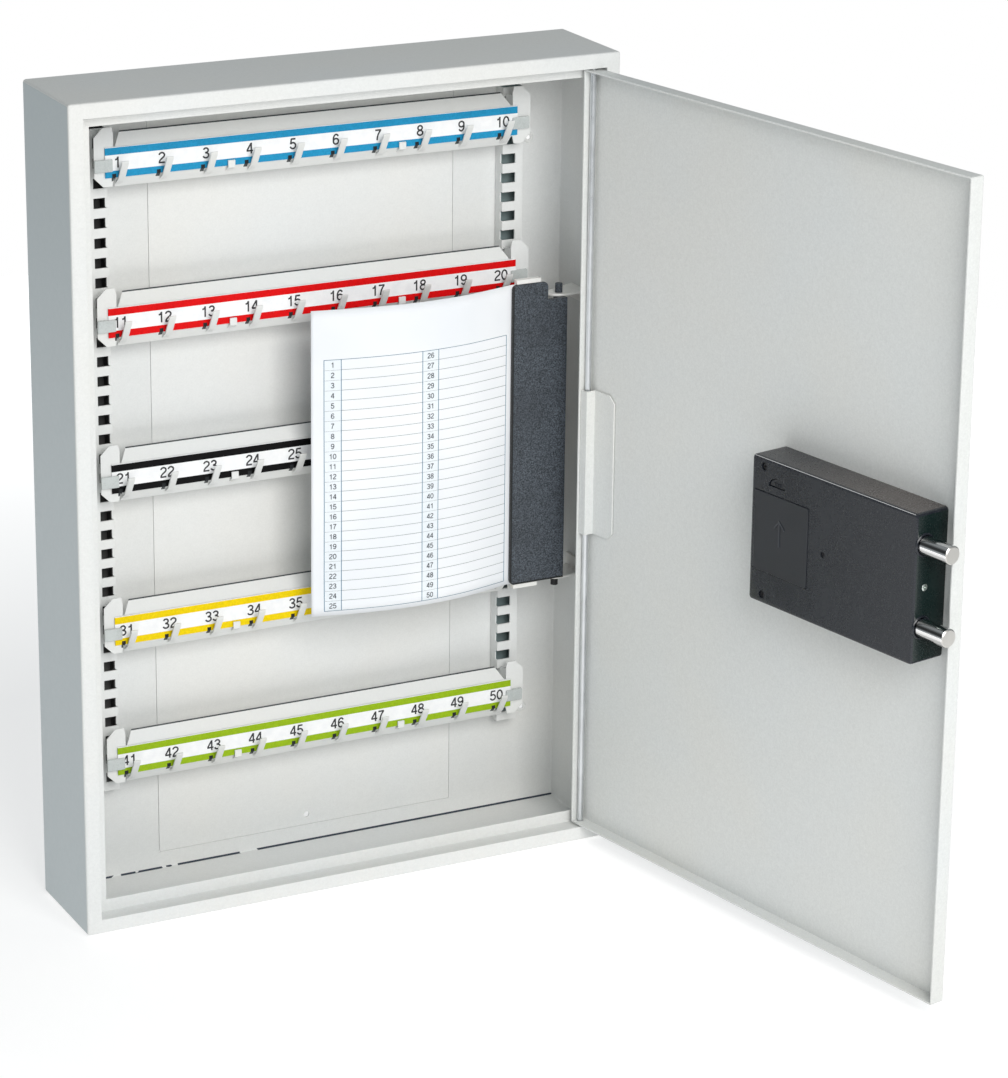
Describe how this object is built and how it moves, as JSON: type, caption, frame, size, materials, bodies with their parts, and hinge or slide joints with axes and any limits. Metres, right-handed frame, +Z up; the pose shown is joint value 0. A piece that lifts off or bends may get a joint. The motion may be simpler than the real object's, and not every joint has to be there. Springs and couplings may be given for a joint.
{
  "type": "key cabinet",
  "caption": "Wall-mounted steel key cabinet with slotted rails, hooked key bars, colour labels, a swinging key register and an electronic keypad lock on the open door.",
  "frame": {"origin": "centre of the back face, on the wall plane", "axes": "+X to the right seen from the front, -Y out of the front, +Y into the wall, +Z up"},
  "size_m": [0.4525, 0.4326, 0.55],
  "materials": {
    "cabinet_paint": "light grey fine-textured powder coat",
    "door_paint": "light grey fine-textured powder coat",
    "bright_steel": "zinc-bright steel",
    "chrome": "polished",
    "lock_plastic": "anthracite, satin",
    "key_plastic": "satin",
    "register_cover": "black leather grain",
    "register_paper": "matt white with a printed table",
    "clip_plastic": "clear grey",
    "red_plastic": "glossy",
    "board": "green solder mask",
    "battery_wrap": "printed sleeve",
    "label_blue": "printed",
    "label_red": "printed",
    "label_black": "printed",
    "label_yellow": "printed",
    "label_green": "printed"
  },
  "bodies": {
    "cabinet": {"housing_shell": "cabinet_paint", "back_panel": "cabinet_paint", "rail_left": "cabinet_paint", "rail_right": "cabinet_paint", "key_bar_1": "cabinet_paint", "key_bar_2": "cabinet_paint", "key_bar_3": "cabinet_paint", "key_bar_4": "cabinet_paint", "key_bar_5": "cabinet_paint", "label_strip_1": "label_blue", "label_strip_2": "label_red", "label_strip_3": "label_black", "label_strip_4": "label_yellow", "label_strip_5": "label_green", "bar_clip_1_left": "clip_plastic", "bar_clip_1_right": "clip_plastic", "bar_clip_2_left": "clip_plastic", "bar_clip_2_right": "clip_plastic", "bar_clip_3_left": "clip_plastic", "bar_clip_3_right": "clip_plastic", "bar_clip_4_left": "clip_plastic", "bar_clip_4_right": "clip_plastic", "bar_clip_5_left": "clip_plastic", "bar_clip_5_right": "clip_plastic", "register_bracket_top": "bright_steel", "register_bracket_bottom": "bright_steel", "hinge_rod": "bright_steel"},
    "door": {"door_panel": "door_paint", "hinge_leaf": "door_paint", "lock_case": "lock_plastic", "battery_1": "battery_wrap", "battery_2": "battery_wrap", "battery_3": "battery_wrap", "battery_4": "battery_wrap", "circuit_board": "board", "keypad_housing": "lock_plastic"},
    "register": {"register_plate": "register_cover", "register_clamp": "bright_steel", "register_sheet": "register_paper"},
    "knob": {"knob": "lock_plastic", "drive_cam": "bright_steel"},
    "bolts": {"bolt_upper": "chrome", "bolt_lower": "chrome", "bolt_carrier": "bright_steel"},
    "battery_cover": {"battery_cover": "lock_plastic"},
    "reset_button": {"reset_button": "red_plastic"},
    "key_0": {"key_0": "key_plastic"},
    "key_1": {"key_1": "key_plastic"},
    "key_2": {"key_2": "key_plastic"},
    "key_3": {"key_3": "key_plastic"},
    "key_4": {"key_4": "key_plastic"},
    "key_5": {"key_5": "key_plastic"},
    "key_6": {"key_6": "key_plastic"},
    "key_7": {"key_7": "key_plastic"},
    "key_8": {"key_8": "key_plastic"},
    "key_9": {"key_9": "key_plastic"},
    "key_cancel": {"key_cancel": "key_plastic"},
    "key_enter": {"key_enter": "key_plastic"}
  },
  "joints": [
    {"name": "door_swing", "type": "hinge", "parent": "cabinet", "child": "door", "pos_m": [0.173, -0.0745, 0], "axis": [0, 0, 1], "range_deg": [-96.5, 2]},
    {"name": "register_swing", "type": "hinge", "parent": "cabinet", "child": "register", "pos_m": [0.1695, -0.0375, 0], "axis": [0, 0, 1], "range_deg": [0, 66]},
    {"name": "knob_turn", "type": "hinge", "parent": "door", "child": "knob", "pos_m": [0.22056, -0.3454, 0.01], "axis": [0.9816, 0.1908, 0], "range_deg": [-90, 0]},
    {"name": "bolt_slide", "type": "slide", "parent": "door", "child": "bolts", "axis": [0.1908, -0.9816, 0], "range_m": [-0.018, 0]},
    {"name": "cover_lift", "type": "slide", "parent": "door", "child": "battery_cover", "axis": [-0.9816, -0.1908, 0], "range_m": [0, 0.02]},
    {"name": "reset_press", "type": "slide", "parent": "door", "child": "reset_button", "axis": [0.1908, -0.9816, 0], "range_m": [0, 0.0015], "stiffness_N_per_m": 400},
    {"name": "key_0_press", "type": "slide", "parent": "door", "child": "key_0", "axis": [-0.9816, -0.1908, 0], "range_m": [0, 0.001], "stiffness_N_per_m": 300},
    {"name": "key_1_press", "type": "slide", "parent": "door", "child": "key_1", "axis": [-0.9816, -0.1908, 0], "range_m": [0, 0.001], "stiffness_N_per_m": 300},
    {"name": "key_2_press", "type": "slide", "parent": "door", "child": "key_2", "axis": [-0.9816, -0.1908, 0], "range_m": [0, 0.001], "stiffness_N_per_m": 300},
    {"name": "key_3_press", "type": "slide", "parent": "door", "child": "key_3", "axis": [-0.9816, -0.1908, 0], "range_m": [0, 0.001], "stiffness_N_per_m": 300},
    {"name": "key_4_press", "type": "slide", "parent": "door", "child": "key_4", "axis": [-0.9816, -0.1908, 0], "range_m": [0, 0.001], "stiffness_N_per_m": 300},
    {"name": "key_5_press", "type": "slide", "parent": "door", "child": "key_5", "axis": [-0.9816, -0.1908, 0], "range_m": [0, 0.001], "stiffness_N_per_m": 300},
    {"name": "key_6_press", "type": "slide", "parent": "door", "child": "key_6", "axis": [-0.9816, -0.1908, 0], "range_m": [0, 0.001], "stiffness_N_per_m": 300},
    {"name": "key_7_press", "type": "slide", "parent": "door", "child": "key_7", "axis": [-0.9816, -0.1908, 0], "range_m": [0, 0.001], "stiffness_N_per_m": 300},
    {"name": "key_8_press", "type": "slide", "parent": "door", "child": "key_8", "axis": [-0.9816, -0.1908, 0], "range_m": [0, 0.001], "stiffness_N_per_m": 300},
    {"name": "key_9_press", "type": "slide", "parent": "door", "child": "key_9", "axis": [-0.9816, -0.1908, 0], "range_m": [0, 0.001], "stiffness_N_per_m": 300},
    {"name": "key_cancel_press", "type": "slide", "parent": "door", "child": "key_cancel", "axis": [-0.9816, -0.1908, 0], "range_m": [0, 0.001], "stiffness_N_per_m": 300},
    {"name": "key_enter_press", "type": "slide", "parent": "door", "child": "key_enter", "axis": [-0.9816, -0.1908, 0], "range_m": [0, 0.001], "stiffness_N_per_m": 300}
  ],
  "couplings": [
    {"joint": "knob_turn", "follows": "bolt_slide", "rad_per_m": 87.26}
  ]
}
